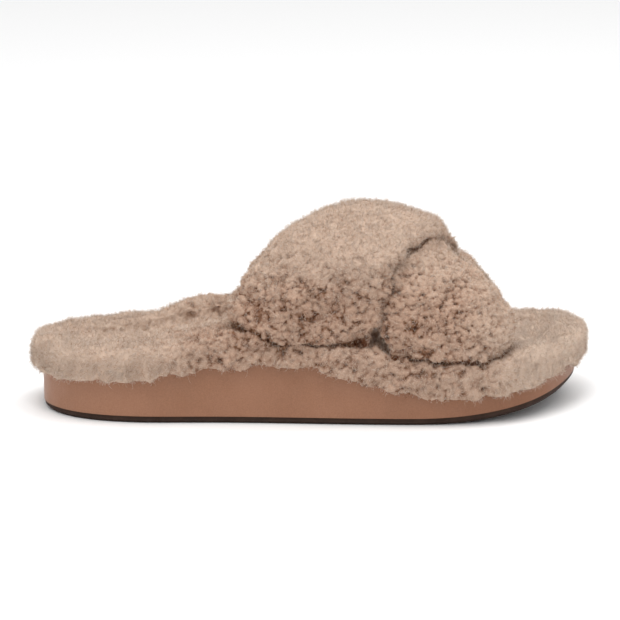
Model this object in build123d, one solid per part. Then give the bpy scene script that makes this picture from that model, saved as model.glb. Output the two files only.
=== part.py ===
"""A fluffy crossover slide slipper for a right foot, in millimetres.

Frame: +X towards the toe, +Y towards the inner (medial) side, +Z up. The origin is on the ground,
under the centre of the slipper. The sole is a stack of sheets that share a plan outline and a few
side profiles. Two padded sheepskin straps cross over the instep, and their ends pass through slits
in the footbed cover and are held under the insole board.
"""
import math
import os

from build123d import *

# Plan outline of the wrapped midsole: distance from the heel tip, and offset from the centre line.
SOLE_LENGTH = 265.0
OUTLINE = [
    (0, 0), (9, -20.5), (32, -33.5), (75, -38), (125, -42), (175, -46.5),
    (212, -45), (240, -33.5), (257, -13), (265, 12), (261, 29.5), (244, 41.5),
    (212, 46.5), (178, 46), (130, 39.5), (85, 35), (35, 33), (9, 20.5),
]
OUTLINE_SAMPLES = 40

# Side profiles: distance from the heel tip, and height.
TOE_BREAK = 180.0
TOE_SPRING_RADIUS = 330.0
SEAT = [  # top of the wrapped midsole
    (-30, 23.5), (16, 23.5), (38, 23.8), (68, 28.6), (95, 32.2), (115, 33.2), (130, 31.6), (145, 27.6),
    (160, 22.6), (180, 18.6), (203, 17.2), (232, 19.3), (250, 22.2), (265, 24.8), (295, 30.5),
]
PROFILE_START, PROFILE_END = -30.0, 295.0
HALF_SPAN = 90.0

# Layer thicknesses and margins of the sole and footbed.
OUTSOLE_THICK = 3.5
OUTSOLE_INSET = 0.6
OUTSOLE_EDGE = 1.6
LEATHER = 1.2
WRAP_MARGIN = 10.0
LAST_MARGIN = 14.0
LAST_THICK = 2.2
BOARD_THICK = 1.6
BOARD_INSET = 1.5
FLEECE_SIDE = 5.0
FLEECE_HANG = 2.0
RIM_ROUNDING, HOLLOW_ROUNDING = 6.5, 1.8
DISH_INSET = 13.0
FOAM_WALL_INSET = 9.0
FLEECE_OVER_RIM = 6.4
FLEECE_OVER_FOAM = 4.4
GLUE = 0.2

# Heights over the seat profile of the footbed's rim, and of the floor of its hollow.
RIM = [(-30, 13), (50, 13), (100, 15.4), (130, 16), (215, 16), (240, 14.4), (258, 12.8), (295, 12.8)]
DISH = [
    (-30, 10.8), (6, 10.6), (28, 9.8), (58, 9.2), (95, 9.6), (120, 10.4), (170, 11.6), (215, 11.8),
    (240, 11), (295, 10.4),
]

# Tread grooves.
GROOVE_WIDTH, GROOVE_DEPTH, GROOVE_BORDER = 1.8, 1.2, 9.0
HEEL_GROOVES = (18.0, 82.0, 8)
BALL_GROOVES = (150.0, 246.0, 12)

# Straps. Each of the four ends is a leg: its rear and front edge, the height of its foot at those
# edges, and the stretch that its hide tab takes.
OUTER_REAR = {"rear": 90.0, "front": 163.0, "low": (45.5, 43.0), "tab": (98.0, 155.0)}
INNER_REAR = {"rear": 101.0, "front": 167.0, "low": (45.0, 42.0), "tab": (109.0, 159.0)}
OUTER_FRONT = {"rear": 164.0, "front": 231.0, "low": (38.0, 33.5), "tab": (172.0, 223.0)}
INNER_FRONT = {"rear": 169.0, "front": 229.0, "low": (38.5, 34.0), "tab": (177.0, 221.0)}
NARROWING, NARROWING_TURN = 0.14, 27.0
CORNER, CORNER_TURN = 0.2, 7.0
STRAP_PATH_INSET = 3.2
CREST_Y = 2.0
ARCH_TOP = [(80, 69), (110, 72), (130, 75.5), (157, 79), (180, 76.5), (200, 71.5), (235, 61)]
ARCH_POWER = 2.5
UPPER_HALF, LOWER_HALF = 8.5, 3.5
STRAP_LIFT = 12.6
LAYER_TURNS = (0, 17, 30, 46, 66, 90, 114, 134, 150, 163, 180)
TURNS = (0, 3, 7, 17, 30, 46, 66, 90, 114, 134, 150, 163, 173, 177, 180)
END_ROUNDING = ((2.8, -2.2), (2.0, -0.8))
SECTION_POINTS = 16
HIDE = 2.0
TAB_GAP = 0.25
TAB_OVERLAP = 8.0
SEAT_GAP = 0.9
STRAP_GAP = 0.3
RECESS = (-6.0, -1.2, 0.74)  # low and high side from the middle surface, and share of the width
LINING = (-3.5, -2.6, 0.72)
REINFORCEMENT = (-2.4, -1.6, 0.68)
THREAD_RADIUS, THREAD_SUNK = 0.4, 0.2
THREAD_SHARE = 0.67
# The runs of thread along a strap's rear and front edge, as (first, last) turns.
UNDER_SEAMS = (((7, 173),), ((7, 173),))
OVER_SEAMS = (((7, 92), (134, 173)), ((7, 60), (118, 173)))


def at(s):
    """The X of a distance from the heel tip."""
    return s - SOLE_LENGTH / 2


def mix(a, b, t):
    return a + (b - a) * t


def ease(t):
    """Smooth step from 0 to 1."""
    t = max(0.0, min(1.0, t))
    return t * t * (3 - 2 * t)


def smooth_value(points, s):
    """Value at s of the smooth curve through (s, value) points."""
    i = max(1, min(len(points) - 1, next((k for k, p in enumerate(points) if p[0] >= s), len(points) - 1)))
    slopes = []
    for k in range(i - 1, i + 1):
        before, after = points[max(0, k - 1)], points[min(len(points) - 1, k + 1)]
        slopes.append((after[1] - before[1]) / (after[0] - before[0]))
    (s0, v0), (s1, v1) = points[i - 1], points[i]
    h = s1 - s0
    t = max(0.0, min(1.0, (s - s0) / h))
    return (
        (1 + 2 * t) * (1 - t) ** 2 * v0
        + t * (1 - t) ** 2 * h * slopes[0]
        + t * t * (3 - 2 * t) * v1
        + t * t * (t - 1) * h * slopes[1]
    )


BASE_CURVE = Spline(*[(at(s), y) for s, y in OUTLINE], periodic=True)
BASE_POINTS = [BASE_CURVE.position_at(k / OUTLINE_SAMPLES) for k in range(OUTLINE_SAMPLES)]
BASE_TANGENTS = [BASE_CURVE.tangent_at(k / OUTLINE_SAMPLES) for k in range(OUTLINE_SAMPLES)]


def outline(grow):
    """The plan outline as a face, grown outwards by a distance."""
    points = [(p.X + t.Y * grow, p.Y - t.X * grow) for p, t in zip(BASE_POINTS, BASE_TANGENTS)]
    return make_face(Spline(*points, periodic=True))


def edge_y(s, side):
    """The outline's Y at a distance from the heel tip, on the outer side (-1) or the inner side (+1)."""
    points = BASE_POINTS + BASE_POINTS[:1]
    for a, b in zip(points, points[1:]):
        if min(a.X, b.X) <= at(s) <= max(a.X, b.X) and (a.Y + b.Y) * side > 0:
            return mix(a.Y, b.Y, (at(s) - a.X) / (b.X - a.X))
    raise ValueError("no outline there")


def ground(rise):
    """The sole's underside profile, flat and then an arc up to the toe, raised by a distance."""
    flat_end = (at(TOE_BREAK), 0, rise)
    reach = PROFILE_END - TOE_BREAK
    tip = TOE_SPRING_RADIUS - math.sqrt(TOE_SPRING_RADIUS**2 - reach**2)
    middle = TOE_SPRING_RADIUS - math.sqrt(TOE_SPRING_RADIUS**2 - (reach / 2) ** 2)
    return [
        Line((at(PROFILE_START), 0, rise), flat_end),
        ThreePointArc(
            flat_end, (at(TOE_BREAK + reach / 2), 0, rise + middle), (at(PROFILE_END), 0, rise + tip)
        ),
    ]


def seat(rise):
    """The midsole's top profile, raised by a distance."""
    return [Spline(*[(at(s), 0, z + rise) for s, z in SEAT])]


def dish(rise):
    """The floor of the footbed's hollow, raised by a distance."""
    return [Spline(*[(at(s), 0, z + smooth_value(DISH, s) + rise) for s, z in SEAT])]


def rim(rise):
    """The top of the footbed's rim, raised by a distance."""
    return [Spline(*[(at(s), 0, z + smooth_value(RIM, s) + rise) for s, z in SEAT])]


def flat(height):
    return [Line((at(PROFILE_START), 0, height), (at(PROFILE_END), 0, height))]


def between(low, high):
    """Everything between two side profiles, over the whole width."""
    start, end = low[0] @ 0, low[-1] @ 1
    top_start, top_end = high[0] @ 0, high[-1] @ 1
    face = make_face(low + high + [Line(start, top_start), Line(end, top_end)])
    return extrude(face, amount=HALF_SPAN, dir=(0, 1, 0), both=True)


def column(grow):
    """The grown outline as a tall prism."""
    return extrude(Pos(0, 0, -10) * outline(grow), amount=140)


def slab(grow, low, high):
    """A sheet with the grown outline, between two side profiles."""
    return column(grow) & between(low, high)


def length_range(start, end):
    """Everything between two distances from the heel tip."""
    return Pos(at((start + end) / 2), 0, 50) * Box(end - start, 2 * HALF_SPAN, 200)


def side_range(side):
    """Everything on the outer side (-1) or the inner side (+1)."""
    return Pos(0, side * HALF_SPAN / 2, 50) * Box(400, HALF_SPAN, 200)


# ---- sole ----------------------------------------------------------------------------------------

def outsole():
    """Rubber sheet with rounded lower edge and shallow grip grooves across the tread."""
    sheet = slab(-OUTSOLE_INSET, ground(0), ground(OUTSOLE_THICK))
    tread = [f for f in sheet.faces() if f.normal_at().Z < -0.7]
    sheet = chamfer([e for f in tread for e in f.edges() if not is_joint_edge(e)], OUTSOLE_EDGE)
    for start, end, count in (HEEL_GROOVES, BALL_GROOVES):
        for k in range(count):
            sheet -= groove(mix(start, end, k / (count - 1)))
    return sheet


def is_joint_edge(edge):
    """True for the straight edge across the underside, where the flat meets the toe arc."""
    return abs(edge.center().X - at(TOE_BREAK)) < 0.01 and edge.geom_type == GeomType.LINE


def groove(s):
    """One straight groove across the tread, with its ends inside a plain border."""
    low, high = edge_y(s, -1) + GROOVE_BORDER, edge_y(s, 1) - GROOVE_BORDER
    slot = Pos(at(s), (low + high) / 2) * SlotOverall(high - low, GROOVE_WIDTH, rotation=90)
    return extrude(Pos(0, 0, -5) * slot, amount=30) & between(ground(-4), ground(GROOVE_DEPTH))


def midsole_core():
    """Moulded foam wedge, rebated at top and bottom edges for the leather that wraps it."""
    body = slab(-LEATHER - GLUE, ground(OUTSOLE_THICK + LEATHER + GLUE), seat(-LEATHER - GLUE))
    middle = slab(-WRAP_MARGIN - GLUE, ground(OUTSOLE_THICK), seat(0))
    return body + middle


def midsole_wrap():
    """Leather band round the midsole, turned in over its top and bottom edges, with a butt seam."""
    band = slab(0, ground(OUTSOLE_THICK + GLUE / 2), seat(0))
    band -= slab(-LEATHER, ground(OUTSOLE_THICK + LEATHER + GLUE / 2), seat(-LEATHER))
    band -= column(-WRAP_MARGIN)
    seam = Pos(at(95), 30, 20) * Box(0.3, 40, 60)
    return band - seam


# ---- footbed -------------------------------------------------------------------------------------

def bottom_filler():
    """Felt sheet that fills the space inside the lasting margins."""
    return slab(-LAST_MARGIN - 1.6, seat(GLUE / 2), seat(LAST_THICK - GLUE / 2))


def insole_board():
    return slab(-BOARD_INSET, seat(LAST_THICK), seat(LAST_THICK + BOARD_THICK))


def footbed_foam():
    """Soft foam with a raised rim, a hollow for the foot, and notches where the straps press in."""
    block = slab(-BOARD_INSET, seat(LAST_THICK + BOARD_THICK + GLUE / 2), rim(-FLEECE_OVER_RIM))
    block -= slab(-FOAM_WALL_INSET, dish(-FLEECE_OVER_FOAM), seat(40))
    for point_of in (over_strap_point, under_strap_point):
        block -= strap_body(point_of, STRAP_GAP)
    return largest(block)


def footbed_shearling():
    """Sheepskin over the footbed, down its side and turned in under the board, slit for the straps."""
    cover = round_rim(slab(FLEECE_SIDE, seat(-FLEECE_HANG), rim(0)))
    cover -= slab(-DISH_INSET, dish(0), seat(40))
    cover = round_hollow(cover)
    cover -= slab(GLUE, flat(-5), seat(GLUE / 4))
    inside = slab(-BOARD_INSET + GLUE, seat(LAST_THICK - GLUE / 4), rim(GLUE - FLEECE_OVER_RIM))
    inside -= slab(-FOAM_WALL_INSET - GLUE, dish(-FLEECE_OVER_FOAM + GLUE), seat(40))
    cover -= inside
    cover -= slab(-LAST_MARGIN, seat(-1), seat(LAST_THICK + 0.1))
    for side, leg in LEG_ENDS:
        cover -= tab(side, leg, TAB_GAP)
    cover -= strap_body(over_strap_point, SEAT_GAP)
    cover -= strap_body(under_strap_point, SEAT_GAP)
    return largest(cover)


def round_rim(block):
    """Rounds the upper outer edge of the footbed."""
    return fillet(rim_edges(block), RIM_ROUNDING)


def round_hollow(block):
    """Rounds the upper edge of the footbed's hollow."""
    return fillet(min(rim_edges(block), key=lambda e: e.length), HOLLOW_ROUNDING)


def rim_edges(block):
    """The long edges that run along the top of the footbed's rim."""
    profile = rim(0)[0]
    found = []
    for edge in block.edges():
        points = [edge.position_at(k / 8) for k in range(9)]
        off = max(profile.distance_to(Vector(p.X, 0, p.Z)) for p in points)
        if off < 0.3 and edge.length > 100:
            found.append(edge)
    return found


def largest(shape):
    return max(shape.solids(), key=lambda s: s.volume)


# ---- straps --------------------------------------------------------------------------------------

LEG_ENDS = ((-1, OUTER_REAR), (1, INNER_REAR), (-1, OUTER_FRONT), (1, INNER_FRONT))


def low_height(leg, s):
    """Height of the straight line along the foot of a leg."""
    return mix(leg["low"][0], leg["low"][1], (s - leg["rear"]) / (leg["front"] - leg["rear"]))


def tab(side, leg, gap):
    """The thin hide end of a strap: down beside the board, then in under it."""
    start, end = leg["tab"][0] - gap, leg["tab"][1] + gap
    outer = -BOARD_INSET + GLUE + HIDE + gap
    reach = [(s, low_height(leg, s) + TAB_OVERLAP) for s in (PROFILE_START, PROFILE_END)]
    top = [Line(*[(at(s), 0, z) for s, z in reach])]
    wide, narrow = column(outer), column(outer - HIDE - 2 * gap)
    zone = length_range(start, end) & side_range(side)
    down = (wide - narrow) & zone & between(seat(0.1 - gap), top)
    under = (wide - column(-LAST_MARGIN - gap)) & zone & between(seat(0.1 - gap), seat(0.1 + HIDE + gap))
    return down + under


def arch(s, turn, outer_leg, inner_leg):
    """A point of the instep arch and its outward direction. Turn runs from 0 at the outer rim to 180."""
    angle = math.radians(turn)
    leg, side = (outer_leg, -1) if turn < 90 else (inner_leg, 1)
    base_y = edge_y(s, side) - side * STRAP_PATH_INSET
    low = low_height(leg, s)
    half, rise = abs(base_y - CREST_Y), smooth_value(ARCH_TOP, s) - low
    c, r = abs(math.cos(angle)) ** (2 / ARCH_POWER), math.sin(angle) ** (2 / ARCH_POWER)
    out = Vector(0, side * c ** (ARCH_POWER - 1) / half, r ** (ARCH_POWER - 1) / rise)
    slope = (smooth_value(ARCH_TOP, s + 2) - smooth_value(ARCH_TOP, s - 2)) / 4
    out = Vector(-slope * out.Z * r, out.Y, out.Z).normalized()
    return Vector(at(s), CREST_Y + side * half * c, low + rise * r), out


def strap_width(start_leg, end_leg, share, turn):
    """Distance from the heel tip of a point across a strap that crosses between two legs."""
    along = ease((turn - 14) / 152)
    rear = mix(start_leg["rear"], end_leg["rear"], along)
    front = mix(start_leg["front"], end_leg["front"], along)
    from_end = min(turn, 180 - turn)
    kept = 1 - NARROWING * (1 - math.sin(math.radians(90 * min(1, from_end / NARROWING_TURN))))
    kept -= CORNER * (1 - min(1, from_end / CORNER_TURN)) ** 2
    return mix((rear + front) / 2, mix(rear, front, share), kept)


def over_strap_point(share, turn, height):
    """A point of the strap from the outer rear to the inner front, which passes over the other strap."""
    front_lift = ease((turn - 10) / 34) * (1 - ease((turn - 86) / 26))
    rear_lift = ease((turn - 20) / 65) * (1 - ease((turn - 136) / 34))
    s = strap_width(OUTER_REAR, INNER_FRONT, share, turn)
    point, out = arch(s, turn, OUTER_REAR, INNER_FRONT)
    return point + out * (height + STRAP_LIFT * mix(rear_lift, front_lift, share))


def under_strap_point(share, turn, height):
    """A point of the strap from the outer front to the inner rear, which passes under the other strap."""
    s = strap_width(OUTER_FRONT, INNER_REAR, share, turn)
    point, out = arch(s, turn, OUTER_FRONT, INNER_REAR)
    return point + out * height


def ring(point_of, turn, grow, drop):
    """The closed puffy cross-section of a strap, starting at the middle of its inner side."""
    points = []
    for k in range(SECTION_POINTS):
        angle = 2 * math.pi * (k / SECTION_POINTS - 0.25)
        c, r = math.cos(angle), math.sin(angle)
        across = math.copysign(abs(c) ** (2 / 3.2), c)
        half = (UPPER_HALF if r > 0 else LOWER_HALF) + grow
        share = 0.5 + across * (0.5 + grow / 70)
        point = point_of(share, turn, math.copysign(abs(r) ** (2 / 2.3), r) * half)
        points.append(point - Vector(0, 0, drop))
    return Wire([Spline(*points, periodic=True)])


def strap_body(point_of, grow=0.0):
    """The whole padded strap, with rounded ends."""
    wires = [ring(point_of, turn, grow, 0) for turn in TURNS]
    start = [ring(point_of, TURNS[0], grow + more, drop + grow) for drop, more in END_ROUNDING]
    end = [ring(point_of, TURNS[-1], grow + more, drop + grow) for drop, more in reversed(END_ROUNDING)]
    return Solid.make_loft(start + wires + end)


def strap_layer(point_of, low, high, share):
    """A thin band on the inner side of a strap, between two heights from its middle surface."""
    wires = []
    for turn in LAYER_TURNS:
        shares = [0.5 + share * k / 4 for k in (-2, -1, 0, 1, 2)]
        bottom = Spline(*[point_of(w, turn, low) for w in shares])
        top = Spline(*[point_of(w, turn, high) for w in reversed(shares)])
        wires.append(Wire([bottom, Line(bottom @ 1, top @ 0), top, Line(top @ 1, bottom @ 0)]))
    return Solid.make_loft(wires)


def strap_shearling(point_of, legs):
    """Sheepskin of a strap, turned round its edges, with a thin hide tab at each end."""
    body = strap_body(point_of) - strap_layer(point_of, *RECESS)
    for side, leg in legs:
        body += tab(side, leg, 0)
    return body


def strap_stitching(point_of, seams):
    """Thread along both edges of a strap's lining, with breaks where the other strap presses."""
    strands = []
    for share, runs in zip((0.5 - THREAD_SHARE / 2, 0.5 + THREAD_SHARE / 2), seams):
        for first, last in runs:
            turns = [first, *(t for t in TURNS if first + 3 < t < last - 3), last]
            path = Spline(*[point_of(share, turn, LINING[0] + THREAD_SUNK) for turn in turns])
            strands.append(sweep(Plane(origin=path @ 0, z_dir=path % 0) * Circle(THREAD_RADIUS), path))
    return Compound(children=strands)


def main():
    os.makedirs("parts", exist_ok=True)
    over_legs = ((-1, OUTER_REAR), (1, INNER_FRONT))
    under_legs = ((-1, OUTER_FRONT), (1, INNER_REAR))
    clear = strap_body(under_strap_point, STRAP_GAP)
    nodes = {
        "outsole": outsole(),
        "midsole": midsole_core(),
        "midsole_wrap": midsole_wrap(),
        "bottom_filler": bottom_filler(),
        "insole_board": insole_board(),
        "footbed_foam": footbed_foam(),
        "footbed_shearling": footbed_shearling(),
        "over_strap_shearling": strap_shearling(over_strap_point, over_legs) - clear,
        "over_strap_reinforcement": strap_layer(over_strap_point, *REINFORCEMENT) - clear,
        "over_strap_lining": strap_layer(over_strap_point, *LINING) - clear,
        "over_strap_stitching": strap_stitching(over_strap_point, OVER_SEAMS),
        "under_strap_shearling": strap_shearling(under_strap_point, under_legs),
        "under_strap_reinforcement": strap_layer(under_strap_point, *REINFORCEMENT),
        "under_strap_lining": strap_layer(under_strap_point, *LINING),
        "under_strap_stitching": strap_stitching(under_strap_point, UNDER_SEAMS),
    }
    for name, shape in nodes.items():
        export_step(shape, f"parts/{name}.step")


if __name__ == "__main__":
    main()
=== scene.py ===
"""Looks of the fluffy crossover slide slipper, built round its CAD parts.

The fleece pieces are made from their CAD solids: remeshed finely, pushed out into curls, and given
separate pile fibres as real mesh. Lengths here are in millimetres until a mesh is written, and the
frame is the CAD's: +X to the toe, +Y to the inner side, +Z up.
"""
import itertools
import math

import bmesh
import bpy
import numpy as np
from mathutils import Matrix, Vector
from mathutils.bvhtree import BVHTree
from mathutils.kdtree import KDTree


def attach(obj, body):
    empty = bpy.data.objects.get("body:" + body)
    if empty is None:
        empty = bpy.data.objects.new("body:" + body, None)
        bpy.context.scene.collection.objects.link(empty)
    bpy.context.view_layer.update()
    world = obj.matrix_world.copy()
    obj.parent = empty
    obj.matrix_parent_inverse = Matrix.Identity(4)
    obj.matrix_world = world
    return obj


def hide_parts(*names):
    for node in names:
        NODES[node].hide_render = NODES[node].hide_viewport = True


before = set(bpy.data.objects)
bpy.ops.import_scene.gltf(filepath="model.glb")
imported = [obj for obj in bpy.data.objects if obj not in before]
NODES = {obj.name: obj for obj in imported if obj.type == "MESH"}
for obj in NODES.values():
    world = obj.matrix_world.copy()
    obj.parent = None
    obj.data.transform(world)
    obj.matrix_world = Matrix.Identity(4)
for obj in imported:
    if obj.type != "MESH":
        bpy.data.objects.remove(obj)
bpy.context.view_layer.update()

MM = 0.001
BODY = "root"

# ---- camera, light and floor -----------------------------------------------------------------

VIEW_ELEVATION = 14.5
VIEW_TURN = 2.5
VIEW_DISTANCE = 1.6
VIEW_TARGET = (-0.0008, 0.0, 0.0465)
LENS = 188.3
SENSOR = 36.0
FLOOR_SIZE = 12
FLOOR_WHITE = (0.93, 0.93, 0.93)
SURROUND_STRENGTH = 0.8
LIGHT_AIM, LIGHT_SIZE = (0, 0, 0.04), 0.9
LIGHTS = (("key", (-0.2, -0.6, 1.5), 12.5), ("fill", (0.5, -0.1, 1.3), 6))  # place and power


def add_camera():
    """A long lens a little above the slipper's side, nearer its heel than its toe."""
    data = bpy.data.cameras.new("camera")
    data.lens, data.sensor_width = LENS, SENSOR
    camera = bpy.data.objects.new("camera", data)
    bpy.context.scene.collection.objects.link(camera)
    up, turn = math.radians(VIEW_ELEVATION), math.radians(VIEW_TURN)
    away = Vector((-math.sin(turn) * math.cos(up), -math.cos(turn) * math.cos(up), math.sin(up)))
    camera.location = Vector(VIEW_TARGET) + away * VIEW_DISTANCE
    camera.rotation_euler = (-away).to_track_quat("-Z", "Y").to_euler()
    bpy.context.scene.camera = camera


def add_soft_light(name, place, power):
    data = bpy.data.lights.new(name, "AREA")
    data.shape, data.size, data.energy = "DISK", LIGHT_SIZE, power
    light = bpy.data.objects.new(name, data)
    bpy.context.scene.collection.objects.link(light)
    light.location = place
    light.rotation_euler = (Vector(LIGHT_AIM) - Vector(place)).to_track_quat("-Z", "Y").to_euler()


def add_studio():
    """A white floor, white surroundings and large soft lights from above."""
    bpy.ops.mesh.primitive_plane_add(size=FLOOR_SIZE, location=(0, 0, 0))
    floor = bpy.context.object
    floor.name = "floor"
    paint = Material("floor_white", roughness=0.9, colour=FLOOR_WHITE)
    floor.data.materials.append(paint.material)
    world = bpy.data.worlds.new("studio")
    world.use_nodes = True
    background = world.node_tree.nodes["Background"]
    background.inputs["Color"].default_value = (1, 1, 1, 1)
    background.inputs["Strength"].default_value = SURROUND_STRENGTH
    bpy.context.scene.world = world
    bpy.context.scene.view_settings.view_transform = "Standard"
    for light in LIGHTS:
        add_soft_light(*light)


# ---- materials -------------------------------------------------------------------------------

MIX_A, MIX_B, MIX_RESULT = 6, 7, 2  # the colour sockets of a Mix node


class Material:
    """A Principled material and short ways to add nodes to it. Texture sizes are in millimetres."""

    def __init__(self, name, roughness, colour=(0.5, 0.5, 0.5), **sockets):
        self.material = bpy.data.materials.new(name)
        self.material.use_nodes = True
        self.tree = self.material.node_tree
        self.shader = self.tree.nodes["Principled BSDF"]
        self.shader.inputs["Roughness"].default_value = roughness
        self.shader.inputs["Base Color"].default_value = (*colour, 1)
        for socket, value in sockets.items():
            self.shader.inputs[socket.replace("_", " ")].default_value = value

    def node(self, kind, **settings):
        made = self.tree.nodes.new("ShaderNode" + kind)
        for name, value in settings.items():
            if hasattr(made, name):
                setattr(made, name, value)
            else:
                self.put(made.inputs[name.replace("_", " ")], value)
        return made

    def put(self, socket, value):
        """Links a socket to an output, or sets its value."""
        if isinstance(value, bpy.types.NodeSocket):
            self.tree.links.new(value, socket)
        else:
            socket.default_value = value

    def place(self, stretch=(1, 1, 1)):
        """Object coordinates in millimetres, with stretch to lengthen a texture along an axis."""
        coordinates = self.node("TexCoord")
        scale = [1 / MM / s for s in stretch]
        return self.node("Mapping", Vector=coordinates.outputs["Object"], Scale=scale).outputs[0]

    def noise(self, size, detail=3.0, stretch=(1, 1, 1), rough=0.5):
        made = self.node("TexNoise", Vector=self.place(stretch), Scale=1 / size, Detail=detail)
        made.inputs["Roughness"].default_value = rough
        return made.outputs["Fac"]

    def grain(self, size):
        """Distance to the edges of a leather-like cell pattern."""
        made = self.node("TexVoronoi", Vector=self.place(), Scale=1 / size)
        made.feature = "DISTANCE_TO_EDGE"
        return made.outputs["Distance"]

    def ramp(self, value, *stops):
        """A colour ramp through (place, colour) stops."""
        made = self.node("ValToRGB", Fac=value)
        elements = made.color_ramp.elements
        while len(elements) < len(stops):
            elements.new(0.5)
        for element, (place, colour) in zip(elements, stops):
            element.position = place
            element.color = (*colour, 1)
        return made.outputs["Color"]

    def spread(self, value, low, high, new_low, new_high):
        """A value's range from low to high, stretched to run from new_low to new_high."""
        made = self.node("MapRange", Value=value)
        numbers = {"From Min": low, "From Max": high, "To Min": new_low, "To Max": new_high}
        for name, number in numbers.items():
            made.inputs[name].default_value = number
        return made.outputs["Result"]

    def mix(self, a, b, share, blend="MIX"):
        made = self.node("Mix", data_type="RGBA", blend_type=blend)
        self.put(made.inputs["Factor"], share)
        for socket, colour in ((MIX_A, a), (MIX_B, b)):
            linked = isinstance(colour, bpy.types.NodeSocket)
            self.put(made.inputs[socket], colour if linked else (*colour, 1))
        return made.outputs[MIX_RESULT]

    def attribute(self, name):
        return self.node("Attribute", attribute_name=name).outputs["Fac"]

    def bump(self, height, depth, below=None):
        made = self.node("Bump", Height=height, Distance=depth * MM, Strength=1.0)
        if below is not None:
            self.put(made.inputs["Normal"], below)
        return made.outputs["Normal"]

    def finish(self, colour=None, roughness=None, normal=None):
        for name, value in (("Base Color", colour), ("Roughness", roughness), ("Normal", normal)):
            if value is not None:
                self.put(self.shader.inputs[name], value)
        return self.material


# Each wool's tones: down between the curls as painted shade, part way up, and on top of them.
PALE_WOOL = ((0.325, 0.205, 0.142), (0.470, 0.348, 0.268), (0.560, 0.447, 0.366))
DEEP_WOOL = ((0.055, 0.016, 0.006), (0.180, 0.080, 0.042), (0.445, 0.308, 0.232))


def wool_material():
    """Curly pile: painted shade between the curls, pale beige on them, deeper by tone and crevice shade."""
    m = Material("wool", 0.95, Sheen_Weight=0.25, Sheen_Roughness=0.5, Sheen_Tint=(1.0, 0.80, 0.66, 1),
                 Specular_IOR_Level=0.05)
    depth = m.attribute("pile")
    heights = (0.0, 0.45, 1.0)
    pale, deep = (m.ramp(depth, *zip(heights, tones)) for tones in (PALE_WOOL, DEEP_WOOL))
    ground = m.mix(pale, deep, m.attribute("tone"))
    # Painted shade: the stored crevice shade darkens the wool's colour.
    crevice_shade = m.ramp(m.attribute("shade"), (0.1, (1, 1, 1)), (0.7, (0.26, 0.145, 0.095)))
    ground = m.mix(ground, crevice_shade, 1.0, "MULTIPLY")
    slow = m.ramp(m.noise(22), (0.35, (0.95, 0.93, 0.91)), (0.65, (1.04, 1.02, 1.0)))
    colour = m.mix(ground, slow, 1.0, "MULTIPLY")
    strands = m.noise(0.5, 2.0)
    streak = m.ramp(strands, (0.35, (0.86, 0.82, 0.79)), (0.62, (1.06, 1.05, 1.04)))
    colour = m.mix(colour, streak, 0.5, "MULTIPLY")
    return m.finish(colour, normal=m.bump(strands, 0.18))


def fibre_material(name, colour):
    """Wool fibres of one tone: soft, a little see-through, and shinier in some places than in others."""
    tint = (*(math.sqrt(c / colour[0]) for c in colour), 1)
    m = Material(name, 0.9, colour, Sheen_Weight=0.9 * colour[0], Sheen_Roughness=0.5, Sheen_Tint=tint,
                 Subsurface_Weight=0.4, Subsurface_Scale=0.4 * MM, Subsurface_Radius=(1.0, 0.8, 0.65))
    m.put(m.shader.inputs["Specular IOR Level"], m.spread(m.noise(1.5, 2.0), 0.3, 0.7, 0.02, 0.2))
    return m.finish()


def leather_material():
    """Smooth dyed leather: fine grain, faint upright streaks from lasting, and slow changes of tone."""
    m = Material("wrap_leather", 0.55, Sheen_Weight=0.25, Sheen_Roughness=0.35, Specular_IOR_Level=0.35)
    slow = m.ramp(m.noise(45, 2.0), (0.3, (0.270, 0.127, 0.070)), (0.7, (0.312, 0.150, 0.086)))
    drawn = m.noise(0.9, 2.0, stretch=(1, 1, 6))
    streak = m.ramp(drawn, (0.3, (0.97, 0.965, 0.96)), (0.7, (1.02, 1.02, 1.02)))
    colour = m.mix(slow, streak, 0.6, "MULTIPLY")
    grain = m.grain(0.8)
    colour = m.mix(colour, m.ramp(grain, (0.0, (0.86, 0.83, 0.81)), (0.15, (1, 1, 1))), 0.5, "MULTIPLY")
    speckle = m.ramp(m.noise(0.7, 4.0, rough=0.7), (0.3, (0.90, 0.885, 0.87)), (0.7, (1.10, 1.10, 1.10)))
    colour = m.mix(colour, speckle, 1.0, "MULTIPLY")
    # Painted light: a painted highlight at the heel end, and painted shade towards the toe.
    along = m.spread(m.node("SeparateXYZ", Vector=m.place()).outputs["X"], -140, 140, 0, 1)
    heel, plain, toe = (1.08, 1.12, 1.18), (1, 1, 1), (0.86, 0.80, 0.74)
    lit_heel_shaded_toe = m.ramp(along, (0.0, heel), (0.2, plain), (0.6, plain), (0.85, toe))
    colour = m.mix(colour, lit_heel_shaded_toe, 1.0, "MULTIPLY")
    rough = m.spread(m.noise(6, 4.0), 0.3, 0.7, 0.48, 0.62)
    crease = m.bump(m.noise(3.0, 3.0, stretch=(1, 1, 2.5)), 0.12)
    return m.finish(colour, rough, m.bump(grain, 0.06, crease))


def rubber_material():
    """Dark brown rubber, dull, with a little dust on it."""
    m = Material("outsole_rubber", 0.6, Specular_IOR_Level=0.2)
    tone = m.ramp(m.noise(9, 5.0), (0.3, (0.030, 0.015, 0.010)), (0.7, (0.046, 0.024, 0.016)))
    dust = m.mix(tone, (0.09, 0.058, 0.042), m.spread(m.noise(1.2, 4.0), 0.55, 0.8, 0.0, 0.3))
    rough = m.spread(m.noise(4, 4.0), 0.3, 0.7, 0.6, 0.82)
    return m.finish(dust, rough, m.bump(m.noise(0.5, 3.0), 0.05))


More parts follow.
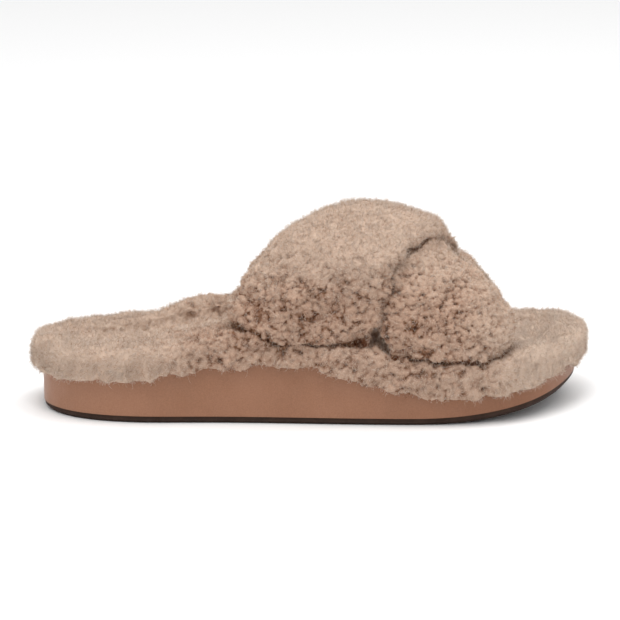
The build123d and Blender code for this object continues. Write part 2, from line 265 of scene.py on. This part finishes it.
def suede_material():
    """Suede with a short nap brushed along it."""
    m = Material("suede_lining", 0.92, Sheen_Weight=0.4, Sheen_Roughness=0.4)
    slow = m.ramp(m.noise(14, 3.0), (0.3, (0.36, 0.225, 0.155)), (0.7, (0.44, 0.29, 0.21)))
    brushed = m.noise(0.6, 3.0, stretch=(2.5, 1, 1))
    nap = m.ramp(brushed, (0.3, (0.82, 0.80, 0.78)), (0.7, (1.08, 1.07, 1.06)))
    return m.finish(m.mix(slow, nap, 0.8, "MULTIPLY"), normal=m.bump(m.noise(0.4, 3.0), 0.12))


def mottled_material(name, low, high, size, roughness, depth):
    """Plain matter with a mottled tone and a matching surface, for felt, board, foam, tape and thread."""
    m = Material(name, roughness)
    value = m.noise(size, 4.0)
    colour = m.ramp(value, (0.3, low), (0.7, high))
    rough = m.spread(value, 0.3, 0.7, roughness - 0.08, min(1.0, roughness + 0.08))
    return m.finish(colour, rough, m.bump(value, depth))


# ---- fleece ----------------------------------------------------------------------------------

# Sizes of the pile, in millimetres.
CURL_HEIGHT = 1.9
FINE_HEIGHT = 0.8
CLUMP_DEPTH = 0.7
LUMPS = ((20, 1.2), (9, 1.6), (4.8, 0.9))  # size and height
LEAST_PILE = 1.2  # that pressed pile keeps over what it hides
HOLLOW_PRESSED = 2.2
RIM_STANDS = 1.8
FOOT_SPREAD = 4.5
BAND_PRESSED = 3.5
COVER_REACH = 8.0
CONTACT_REACH = 7.5
CONTACT_OVERLAP = 0.35
SHADE_REACH = 15.0
SHADE_START = 1.2  # above the surface, clear of its own roughness
SHADE_RAYS = 28
SHADE_DEEPENS = 1.2  # how much of a crevice's shade is added to the tone
HEM_SLOTS = 240  # round the footbed
NO_HEM = 99.0

FIBRE_LENGTH = 2.1
FIBRE_THICKNESS = 0.15
FIBRE_COIL, FIBRE_LEAN = 0.4, 0.35
FIBRE_ROOT = 0.5  # below the surface
FIBRE_TAPER = 0.55
FIBRE_SIDES = 3
FIBRE_STEPS = 4
MOST_FIBRES = 9000  # in one piece
UPRIGHT_SHARE = 0.45
SPACING = 0.66
FIBRE_TONES = {
    "pale": (0.590, 0.472, 0.388),
    "warm": (0.480, 0.332, 0.242),
    "brown": (0.240, 0.108, 0.054),
    "umber": (0.105, 0.036, 0.014),
}
# The share of each fibre tone in pale pile, in deep pile, and in a crevice, darker there as painted shade.
PALE_SHARE = np.array((0.66, 0.34, 0.0, 0.0))
DEEP_SHARE = np.array((0.28, 0.44, 0.26, 0.02))
CREVICE_SHARE = np.array((0.0, 0.06, 0.3, 0.64))


def lattice_number(cells, salt):
    """A repeatable number from 0 to 1 for each lattice cell, its three whole coordinates scrambled."""
    h = (cells[:, 0] * 73856093) ^ (cells[:, 1] * 19349663) ^ (cells[:, 2] * 83492791) ^ (salt * 40503)
    h = ((h ^ (h >> 13)) * 1274126177) & 0xFFFFFFFF
    h = ((h ^ (h >> 15)) * 668265263) & 0xFFFFFFFF
    return ((h ^ (h >> 16)) & 0xFFFFFF) / 0xFFFFFF


def soft_noise(points, size, salt):
    """Smooth noise from -1 to 1."""
    q = points / size
    cell = np.floor(q).astype(np.int64)
    f = q - cell
    f = f * f * (3 - 2 * f)
    total = np.zeros(len(points))
    for corner in itertools.product((0, 1), repeat=3):
        weight = np.prod(np.where(np.array(corner) == 1, f, 1 - f), axis=1)
        total += weight * lattice_number(cell + np.array(corner), salt)
    return total * 2 - 1


def soft_shift(points, size, amount, salt):
    """A smooth random shift for each point."""
    return np.stack([soft_noise(points, size, salt + k) for k in range(3)], axis=1) * amount


def curls(points, size, salt):
    """The nearest scattered curl centre to each point.

    Gives its distance in curl sizes, the way to it, and a number of its own from 0 to 1.
    """
    q = points / size
    base = np.floor(q).astype(np.int64)
    near, way, which = np.full(len(q), 9.0), np.zeros((len(q), 3)), np.zeros(len(q))
    for offset in itertools.product((-1, 0, 1), repeat=3):
        cell = base + np.array(offset)
        step = cell + np.stack([lattice_number(cell, salt + k) for k in range(3)], axis=1) - q
        distance = np.linalg.norm(step, axis=1)
        closer = distance < near
        near[closer], way[closer] = distance[closer], step[closer]
        which[closer] = lattice_number(cell[closer], salt + 3)
    return near, way * size, which


def smoothstep(value, low, high):
    """0 up to low, 1 from high on, and a smooth rise between."""
    t = np.clip((value - low) / (high - low), 0, 1)
    return t * t * (3 - 2 * t)


def fade(value, low, high):
    """1 up to low, 0 from high on, and a smooth fall between."""
    return 1 - smoothstep(value, low, high)


def joined_shape(nodes):
    """The corners and faces of some CAD nodes together."""
    verts, faces = [], []
    for node in nodes:
        mesh = NODES[node].data
        start = len(verts)
        verts += [v.co.copy() for v in mesh.vertices]
        faces += [[i + start for i in p.vertices] for p in mesh.polygons]
    return verts, faces


def tree_of(nodes):
    return BVHTree.FromPolygons(*joined_shape(nodes))


def piece_from_node(name, node, voxel):
    """A new piece: a CAD node's mesh, remeshed evenly and smoothed."""
    verts, faces = joined_shape([node])
    mesh = bpy.data.meshes.new(name)
    mesh.from_pydata(verts, [], faces)
    piece = bpy.data.objects.new(name, mesh)
    bpy.context.scene.collection.objects.link(piece)
    remesh = piece.modifiers.new("even", "REMESH")
    remesh.mode, remesh.voxel_size, remesh.use_smooth_shade = "VOXEL", voxel * MM, True
    smooth_out(piece, 3)
    return piece


def smooth_out(piece, rounds):
    smooth = piece.modifiers.new("smooth", "SMOOTH")
    smooth.factor, smooth.iterations = 0.5, rounds
    bake_modifiers(piece)


def refine(piece, free):
    """Divides the free faces once more, for finer curls there."""
    mesh = piece.data
    shape = bmesh.new()
    shape.from_mesh(mesh)
    shape.verts.ensure_lookup_table()
    wanted = {e for f in shape.faces if all(free[v.index] > 0.3 for v in f.verts) for e in f.edges}
    bmesh.ops.subdivide_edges(shape, edges=list(wanted), cuts=1, use_grid_fill=True)
    shape.to_mesh(mesh)
    shape.free()
    smooth_out(piece, 2)


def bake_modifiers(piece):
    """Replaces a piece's mesh by what its modifiers make of it."""
    depsgraph = bpy.context.evaluated_depsgraph_get()
    mesh = bpy.data.meshes.new_from_object(
        piece.evaluated_get(depsgraph), preserve_all_data_layers=True, depsgraph=depsgraph
    )
    old = piece.data
    piece.modifiers.clear()
    piece.data = mesh
    mesh.name = piece.name
    bpy.data.meshes.remove(old)


def read_mesh(piece):
    """A mesh's points and normals, in millimetres."""
    mesh = piece.data
    points = np.empty(len(mesh.vertices) * 3)
    mesh.vertices.foreach_get("co", points)
    normals = np.empty(len(mesh.vertices) * 3)
    mesh.vertex_normals.foreach_get("vector", normals)
    return points.reshape(-1, 3) / MM, normals.reshape(-1, 3)


def write_points(piece, points):
    piece.data.vertices.foreach_set("co", (points * MM).ravel())
    piece.data.update()


def store_values(piece, name, values):
    attribute = piece.data.attributes.new(name, "FLOAT", "POINT")
    attribute.data.foreach_set("value", values.astype(np.float32))


def read_values(piece, name):
    values = np.empty(len(piece.data.vertices), dtype=np.float32)
    piece.data.attributes[name].data.foreach_get("value", values)
    return values


def crossing(points):
    """How far the pile of two pieces mats together: fully where the straps cross, little at their feet."""
    x, y, z = points.T
    far = smoothstep(y, 0, 10) * smoothstep(x, 55, 70)
    return 0.2 + 0.8 * np.maximum(smoothstep(z, 60, 72), far * smoothstep(z, 44, 56))


def softened(points):
    """How much of a crevice's shade stays: less where the straps' edges melt into each other."""
    x, y, z = points.T
    crease = np.exp(-(((x - 38) / 9) ** 2) - ((z - 75) / 9) ** 2) * fade(y, -12, 0)
    far = smoothstep(x, 56, 65) * smoothstep(y, -36, -20) * smoothstep(z, 45, 60)
    return 1 - 0.75 * np.maximum(crease, far)


def fill_contacts(piece, free, others):
    """Swells the pile where it faces another piece closely, so that the two meet."""
    points, normals = read_mesh(piece)
    matted = np.clip(crossing(points) + 0.4 * soft_noise(points, 5, 91), 0, 1.1)
    tree = tree_of(others)
    for k in np.flatnonzero(free > 0.2):
        near, _, _, gap = tree.find_nearest(Vector(points[k] * MM), CONTACT_REACH * MM)
        if near is None or gap == 0:
            continue
        gap /= MM
        facing = max(0.0, float(np.dot(normals[k], (np.array(near) / MM - points[k]) / gap)))
        wanted = (gap / 2 + CONTACT_OVERLAP) * fade(gap, CONTACT_REACH * 0.4, CONTACT_REACH)
        points[k] += normals[k] * (facing * wanted * matted[k])
    write_points(piece, points)


def shade(piece, free):
    """Stores painted shade: how far nearby pieces close each point in, 0 in the open, 1 deep in a crevice.
    """
    points, normals = read_mesh(piece)
    total = np.zeros(len(points))
    weights = np.zeros(len(points))
    for direction in DIRECTIONS:
        facing = normals @ direction
        ray = Vector(direction)
        for k in np.flatnonzero((facing > 0.12) & (free > 0.1)):
            start = Vector((points[k] + normals[k] * SHADE_START) * MM)
            hit = ALL_PILE.ray_cast(start, ray, SHADE_REACH * MM)[3]
            weights[k] += facing[k]
            if hit is not None:
                total[k] += facing[k] * (1 - hit / MM / SHADE_REACH)
    store_values(piece, "shade", total / np.maximum(weights, 0.01) * softened(points))


def even_directions(count):
    """Directions spread evenly over a sphere."""
    k = np.arange(count) + 0.5
    rise = 1 - 2 * k / count
    turn = k * math.pi * (1 + math.sqrt(5))
    flat = np.sqrt(1 - rise**2)
    return np.stack([flat * np.cos(turn), flat * np.sin(turn), rise], axis=1)


def cover(piece, hidden):
    """How thick the pile is over the nodes it hides, at each point, and how free that makes it, 0 to 1."""
    points, _ = read_mesh(piece)
    tree = tree_of(hidden)
    found = [tree.find_nearest(Vector(p * MM), COVER_REACH * MM)[3] for p in points]
    thick = np.array([COVER_REACH if d is None else d / MM for d in found])
    return thick, smoothstep(thick, 0.6, 2.6)


def warp(points, seed):
    """Where each point lies in the field of curls, so that curls are uneven."""
    return points + soft_shift(points, 3.6, 1.1, seed)


def dome(near):
    """A curl's rounded height, from the distance to its centre."""
    return np.sqrt(np.clip(1 - (near / 0.9) ** 2, 0, 1))


def pile(piece, thick, free, look):
    """Pushes a piece's free surface out into curls, and stores how high in the pile each point is."""
    seed = look["seed"]
    points, normals = read_mesh(piece)
    rough, tone = look["rough"](points, normals), look["tone"](points, normals)
    warped = warp(points, seed)
    near, _, which = curls(warped, look["curl"], seed + 10)
    finer = warped + soft_shift(points, 1.5, 0.4, seed + 20)
    near_fine, _, which_fine = curls(finer, look["fine_curl"], seed + 30)
    crumb, fine = dome(near), dome(near_fine)
    parting = soft_noise(points, 5.5, seed + 42) + 0.5 * soft_noise(points, 2.6, seed + 43)
    clump = smoothstep(parting, -0.75, 0.15)
    lumps = sum(soft_noise(points, size, seed + 44 + k) * lift for k, (size, lift) in enumerate(LUMPS))
    curly = CURL_HEIGHT * (crumb - 0.7) + FINE_HEIGHT * (fine - 0.7)
    curly = curly + 0.6 * (which - 0.5) - CLUMP_DEPTH * (1 - clump)
    height = (rough * curly + lumps * (0.55 + 0.45 * rough)) * free
    height = np.maximum(height, -np.clip(thick - LEAST_PILE, 0, None))
    write_points(piece, points + normals * height[:, None])
    # The pile value darkens the wool low between the curls, as painted shade.
    level = 0.58 * crumb + 0.34 * fine + 0.15 * (which_fine - 0.5) + 0.15 * (which - 0.5) - 0.2 * (1 - clump)
    shown = 0.06 + 0.94 * smoothstep(rough, 0.35, 0.95)
    store_values(piece, "pile", np.clip(1 - fade(level, 0.15, 0.85) * shown, 0, 1))
    own = 0.30 * (which - 0.5) + 0.25 * (which_fine - 0.5)
    # The tone also takes the crevice's painted shade.
    deep = tone + own * (0.4 + 0.6 * rough) + SHADE_DEEPENS * read_values(piece, "shade")
    store_values(piece, "tone", np.clip(deep, 0, 1))


def ragged_hem(piece, free, seed):
    """Lets the cover's lower edge hang unevenly over the leather, in soft tufts."""
    points, _ = read_mesh(piece)
    around = np.arctan2(points[:, 1] * 2.6, points[:, 0])
    slot_of = np.floor((around / math.pi + 1) * HEM_SLOTS / 2).astype(int) % HEM_SLOTS
    low = np.full(HEM_SLOTS, NO_HEM)
    np.minimum.at(low, slot_of, np.where(free > 0.5, points[:, 2], NO_HEM))
    hem = np.minimum.reduce([np.roll(low, k) for k in (-1, 0, 1)])[slot_of]
    near_hem = fade(points[:, 2] - hem, 0.5, 6.5) * free
    hang = 0.9 + 1.7 * soft_noise(points, 9, seed) + 1.0 * soft_noise(points, 3.6, seed + 1)
    points[:, 2] -= near_hem * hang
    write_points(piece, points)


def strap_rough(points, normals):
    """Straps: tight curls low down, brushed smoother over the top and on the face towards the toe."""
    low = fade(points[:, 2], 63, 93)
    forward = smoothstep(points[:, 0], 70, 94)
    patches = 0.2 * soft_noise(points, 14, 77)
    return np.clip((0.42 + 0.74 * low) * (1 - 0.45 * forward) + patches, 0.25, 1.15)


def strap_tone(points, normals):
    """Straps: deep in tone low down and paler over the top, as painted shade, and paler towards the toe."""
    low = fade(points[:, 2], 54, 88)
    forward = smoothstep(points[:, 0], 60, 92)
    patches = 0.15 * soft_noise(points, 12, 79)
    return np.clip(0.33 + 0.67 * low * (1 - 0.7 * forward) - 0.15 * forward + patches, 0, 1)


def middle_of_footbed(points):
    """1 along the middle of the footbed's length, 0 at its heel and toe."""
    return smoothstep(points[:, 0], -98, -38) * fade(points[:, 0], 72, 108)


def foot_hollow(points):
    """1 inside the rear part of the footbed's hollow, 0 elsewhere."""
    inside = fade(np.abs(points[:, 1]), 19, 27)
    return inside * smoothstep(points[:, 0], -118, -100) * fade(points[:, 0], 0, 60)


def hollow_edge(points, normals):
    """1 where the outer rim's pile turns over into the footbed's hollow, 0 elsewhere."""
    x, y, _ = points.T
    turned = smoothstep(normals[:, 1], 0.04, 0.22) * smoothstep(-y, 8, 16) * fade(-y, 32, 38)
    return turned * smoothstep(x, -112, -98) * fade(x, -55, -30)


def inner_half(points):
    """1 on the footbed's inner half behind the straps, 0 elsewhere."""
    return smoothstep(points[:, 1], -5, 12) * fade(points[:, 0], -45, -10)


def footbed_rough(points, normals):
    """Footbed: curls along the middle of the side, brushed flatter towards heel and toe."""
    upward = smoothstep(normals[:, 2], 0.2, 0.9)
    middle = middle_of_footbed(points)
    side = 0.16 + (0.94 - 0.2 * upward) * middle
    inner = np.maximum(foot_hollow(points), inner_half(points) * middle)
    return np.clip(side + 0.5 * inner + 0.1 * soft_noise(points, 16, 78), 0.14, 1.15)


def footbed_tone(points, normals):
    """Footbed: painted shade along the middle and at the hollow's outer edge; pale at heel and toe."""
    # Painted shade: darker along the middle below the straps, and where the rim turns into the hollow.
    middle = middle_of_footbed(points) * (1 - 0.75 * inner_half(points))
    inner = hollow_edge(points, normals) - 0.15 * foot_hollow(points)
    heel = 0.2 * fade(points[:, 0], -60, 60)
    return np.clip(0.06 + heel + 0.66 * middle + inner + 0.1 * soft_noise(points, 12, 80), 0, 1)


def triangles_of(piece):
    mesh = piece.data
    mesh.calc_loop_triangles()
    corners = np.empty(len(mesh.loop_triangles) * 3, dtype=np.int32)
    mesh.loop_triangles.foreach_get("vertices", corners)
    return corners.reshape(-1, 3)


def scatter(piece, free, look, rng):
    """Random places on a piece's free surface, fewer on tight curls: points and normals."""
    points, normals = read_mesh(piece)
    triangles = triangles_of(piece)
    weight = free * look["keep"](points, normals) * (1.25 - 0.5 * look["rough"](points, normals))
    weight = weight[triangles].min(axis=1)
    a, b, c = (points[triangles[:, k]] for k in range(3))
    area = np.linalg.norm(np.cross(b - a, c - a), axis=1) / 2 * weight
    count = int(area.sum() / SPACING**2)
    chosen = rng.choice(len(triangles), count, p=area / area.sum())
    u, v = rng.random(count), rng.random(count)
    flip = u + v > 1
    u, v = np.where(flip, 1 - u, u)[:, None], np.where(flip, 1 - v, v)[:, None]
    corner = triangles[chosen]
    place = points[corner[:, 0]] * (1 - u - v) + points[corner[:, 1]] * u + points[corner[:, 2]] * v
    normal = normals[corner].mean(axis=1)
    return place, normal / np.linalg.norm(normal, axis=1)[:, None]


def fibre_lines(roots, normals, ways, lengths, rng):
    """Where short curly fibres run, and two directions across each.

    They stand on a surface and gather towards their curl's centre.
    """
    count = len(roots)
    across = np.cross(normals, rng.normal(size=(count, 3)))
    across /= np.linalg.norm(across, axis=1)[:, None]
    other = np.cross(normals, across)
    turn0 = rng.uniform(0, 2 * math.pi, count)
    turns = rng.uniform(0.5, 1.25, count) * 2 * math.pi * rng.choice((-1, 1), count)
    wide = FIBRE_COIL * rng.uniform(0.5, 1.3, count)
    slant = FIBRE_LEAN * rng.normal(size=count)
    steps = np.linspace(0, 1, FIBRE_STEPS + 1)
    lines = []
    for t in steps:
        angle = turn0 + turns * t
        sideways = wide * (np.cos(angle) - np.cos(turn0)) + slant * lengths * t
        forward = wide * (np.sin(angle) - np.sin(turn0))
        rise = lengths * (t - 0.32 * t * t) - FIBRE_ROOT
        gather = ways * t**1.5
        line = roots + gather + normals * rise[:, None]
        lines.append(line + across * sideways[:, None] + other * forward[:, None])
    return np.stack(lines, axis=1), across, other


def fibre_mesh(name, lines, across, other):
    """One mesh of tapered fibres along the given lines."""
    rings = []
    for k in range(FIBRE_STEPS):
        along = lines[:, k + 1] - lines[:, k]
        along /= np.linalg.norm(along, axis=1)[:, None]
        side = np.cross(along, other + 0.3 * across)
        side /= np.linalg.norm(side, axis=1)[:, None]
        third = np.cross(along, side)
        radius = FIBRE_THICKNESS / 2 * (1 - FIBRE_TAPER * k / FIBRE_STEPS)
        for j in range(FIBRE_SIDES):
            angle = 2 * math.pi * j / FIBRE_SIDES
            rings.append(lines[:, k] + radius * (side * math.cos(angle) + third * math.sin(angle)))
    rings.append(lines[:, -1])
    verts = np.stack(rings, axis=1)
    per = verts.shape[1]  # corners in one fibre
    faces = []
    for k in range(FIBRE_STEPS - 1):
        for j in range(FIBRE_SIDES):
            a, b = k * FIBRE_SIDES + j, k * FIBRE_SIDES + (j + 1) % FIBRE_SIDES
            faces += [(a, b, b + FIBRE_SIDES), (a, b + FIBRE_SIDES, a + FIBRE_SIDES)]
    last = (FIBRE_STEPS - 1) * FIBRE_SIDES
    faces += [(last + j, last + (j + 1) % FIBRE_SIDES, per - 1) for j in range(FIBRE_SIDES)]
    faces.append((2, 1, 0))
    corners = (np.array(faces)[None] + (np.arange(len(lines)) * per)[:, None, None]).reshape(-1, 3)
    return mesh_from_arrays(name, verts.reshape(-1, 3) * MM, corners)


def mesh_from_arrays(name, verts, triangles):
    mesh = bpy.data.meshes.new(name)
    mesh.vertices.add(len(verts))
    mesh.vertices.foreach_set("co", verts.ravel())
    mesh.loops.add(triangles.size)
    mesh.loops.foreach_set("vertex_index", triangles.ravel().astype(np.int32))
    mesh.polygons.add(len(triangles))
    mesh.polygons.foreach_set("loop_start", (np.arange(len(triangles)) * 3).astype(np.int32))
    mesh.polygons.foreach_set("use_smooth", np.ones(len(triangles), dtype=bool))
    mesh.update(calc_edges=True)
    return mesh


def along_surface(ways, normals):
    """The part of each direction that lies along the surface."""
    return ways - normals * (ways * normals).sum(axis=1)[:, None]


def add_fibres(base, piece, free, look):
    """One fleece piece's separate fibres, by tone, in pieces that follow one another along X."""
    seed = look["seed"]
    rng = np.random.default_rng(seed + 500)
    roots, normals = scatter(piece, free, look, rng)
    order = np.argsort(roots[:, 0])
    roots, normals = roots[order], normals[order]
    _, ways, _ = curls(warp(roots, seed), look["curl"], seed + 10)
    ways = along_surface(ways, normals)
    rough = look["rough"](roots, normals)[:, None]
    combed = soft_shift(roots, 13, 2.4, seed + 70) + soft_shift(roots, 3.4, 2.3, seed + 75)
    combed = along_surface(combed, normals)
    upright = rng.random(len(roots)) < UPRIGHT_SHARE
    ways = 0.6 * ways * rough + combed * np.clip(1 - rough, 0.1, 1)
    ways = ways * np.where(upright, 0.2, 1.0)[:, None]
    # Painted shade: fibres in crevices and in deep tone take darker tones.
    crevice_shade = nearest_shade(piece, roots)[:, None]
    deep = np.clip(look["tone"](roots, normals)[:, None] + SHADE_DEEPENS * crevice_shade, 0, 1)
    crevice = smoothstep(crevice_shade, 0.15, 0.42)
    shares = (PALE_SHARE * (1 - deep) + DEEP_SHARE * deep) * (1 - crevice) + CREVICE_SHARE * crevice
    tone = (rng.random(len(roots))[:, None] > np.cumsum(shares, axis=1)).sum(axis=1).clip(0, 3)
    standing = rng.uniform(1.1, 2.2, len(roots))
    uneven = rng.uniform(0.65, 1.3, len(roots))
    lengths = FIBRE_LENGTH * uneven * np.where(upright, standing, 1.15 - 0.45 * rough[:, 0])
    lengths *= 1 + 0.5 * crevice_shade[:, 0]
    for k, name in enumerate(FIBRE_TONES):
        places = np.flatnonzero(tone == k)
        parts = np.array_split(places, math.ceil(len(places) / MOST_FIBRES))
        for number, chosen in enumerate(parts, 1):
            full = f"{base}_{name}_{number}"
            shape = fibre_lines(roots[chosen], normals[chosen], ways[chosen], lengths[chosen], rng)
            mesh = fibre_mesh(full, *shape)
            mesh.materials.append(FIBRES[name])
            fibres = bpy.data.objects.new(full, mesh)
            bpy.context.scene.collection.objects.link(fibres)
            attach(fibres, BODY)


def nearest_shade(piece, places):
    """The stored shade of a piece's nearest point to each place."""
    points, _ = read_mesh(piece)
    tree = KDTree(len(points))
    for k, p in enumerate(points):
        tree.insert(p, k)
    tree.balance()
    shades = read_values(piece, "shade")
    return np.array([shades[tree.find(p)[1]] for p in places])


def settle_footbed(points, normals):
    """The pile trodden down a little in the hollow for the heel, and standing up along the outer rim."""
    x, y, _ = points.T
    crest = smoothstep(-y, 20, 25) * fade(-y, 28, 40) * smoothstep(x, -112, -95) * fade(x, -30, 10)
    rise = RIM_STANDS * crest - HOLLOW_PRESSED * foot_hollow(points)
    return np.array((0, 0, 1)) * (rise * smoothstep(normals[:, 2], 0.2, 0.7))[:, None]


def settle_over_strap(points, normals):
    """The outer leg's pile spread forwards at its foot, and the inner leg's front pressed flatter."""
    x, y, z = points.T
    foot = smoothstep(x, -8, 22) * fade(z, 58, 76) * fade(y, -8, 0)
    band = smoothstep(x, 60, 76) * fade(x, 92, 106) * smoothstep(y, -28, -8)
    outward = smoothstep(normals[:, 2] + 0.5 * normals[:, 0], 0.0, 0.4)
    return np.array((FOOT_SPREAD, 0, 0)) * foot[:, None] - normals * (BAND_PRESSED * band * outward)[:, None]


def settle_under_strap(points, normals):
    """The outer leg's pile spread backwards at its foot."""
    x, y, z = points.T
    foot = fade(x, 34, 66) * fade(z, 50, 70) * fade(y, -8, 0)
    return np.array((-0.7 * FOOT_SPREAD, 0, 0)) * foot[:, None]


def settle(piece, look):
    points, normals = read_mesh(piece)
    write_points(piece, points + look["settle"](points, normals))


def add_fleece(part, look):
    """One fleece piece in place of its CAD solid, with its fibres."""
    name, node = f"{part}_fleece", f"{part}_shearling"
    piece = piece_from_node(name, node, look["voxel"])
    _, free = cover(piece, look["hides"])
    fill_contacts(piece, free, [other for other in PILE_NODES if other != node])
    shade(piece, free)
    settle(piece, look)
    refine(piece, free)
    thick, free = cover(piece, look["hides"])
    pile(piece, thick, free, look)
    if look["hem"]:
        ragged_hem(piece, free, look["seed"] + 60)
    piece.data.materials.append(WOOL)
    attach(piece, BODY)
    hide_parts(node)
    add_fibres(name + "_pile", piece, free, look)


def everywhere(points, normals):
    return np.ones(len(points))


def not_underneath(points, normals):
    return fade(-normals[:, 2], 0.85, 0.95)


def strap_look(strap, settled, seed):
    """How a strap's fleece is made: the sizes of its curls, the nodes it hides and how it settles."""
    return {
        "rough": strap_rough, "tone": strap_tone, "settle": settled, "keep": everywhere,
        "curl": 2.5, "fine_curl": 1.3, "voxel": 1.0, "fill": 0.7, "seed": seed, "hem": False,
        "hides": [f"{strap}_lining", f"{strap}_reinforcement"],
    }


LOOKS = {
    "footbed": {
        "rough": footbed_rough, "tone": footbed_tone, "settle": settle_footbed, "keep": not_underneath,
        "curl": 2.7, "fine_curl": 1.5, "voxel": 1.5, "fill": 0.6, "seed": 100, "hem": True,
        "hides": ["footbed_foam", "insole_board", "bottom_filler", "midsole_wrap", "midsole"],
    },
    "over_strap": strap_look("over_strap", settle_over_strap, 200),
    "under_strap": strap_look("under_strap", settle_under_strap, 300),
}
PILE_NODES = [f"{part}_shearling" for part in LOOKS]

# ---- the scene -------------------------------------------------------------------------------

add_camera()
add_studio()
WOOL = wool_material()
FIBRES = {name: fibre_material("fibre_" + name, colour) for name, colour in FIBRE_TONES.items()}

DIRECTIONS = even_directions(SHADE_RAYS)
ALL_PILE = tree_of(PILE_NODES + ["midsole_wrap"])
for part, look in LOOKS.items():
    add_fleece(part, look)

# ---- the pieces that keep their CAD shape ----------------------------------------------------

SUEDE = suede_material()
THREAD = mottled_material("thread", (0.30, 0.19, 0.13), (0.42, 0.28, 0.20), 0.5, 0.7, 0.1)
TAPE = mottled_material("stiffener", (0.66, 0.63, 0.59), (0.78, 0.75, 0.71), 0.8, 0.85, 0.05)
FINISHES = {
    "outsole": rubber_material(),
    "midsole_wrap": leather_material(),
    "midsole": mottled_material("midsole_foam", (0.56, 0.50, 0.42), (0.66, 0.60, 0.52), 1.2, 0.8, 0.08),
    "bottom_filler": mottled_material("felt", (0.36, 0.32, 0.28), (0.47, 0.43, 0.39), 0.7, 0.95, 0.15),
    "insole_board": mottled_material("fibre_board", (0.42, 0.31, 0.21), (0.52, 0.40, 0.29), 1.5, 0.85, 0.05),
    "footbed_foam": mottled_material("soft_foam", (0.72, 0.66, 0.52), (0.82, 0.76, 0.63), 0.6, 0.9, 0.12),
    "over_strap_lining": SUEDE,
    "under_strap_lining": SUEDE,
    "over_strap_reinforcement": TAPE,
    "under_strap_reinforcement": TAPE,
    "over_strap_stitching": THREAD,
    "under_strap_stitching": THREAD,
}
for node, material in FINISHES.items():
    slots = NODES[node].data.materials
    if not slots:
        slots.append(material)
    for k in range(len(slots)):
        slots[k] = material
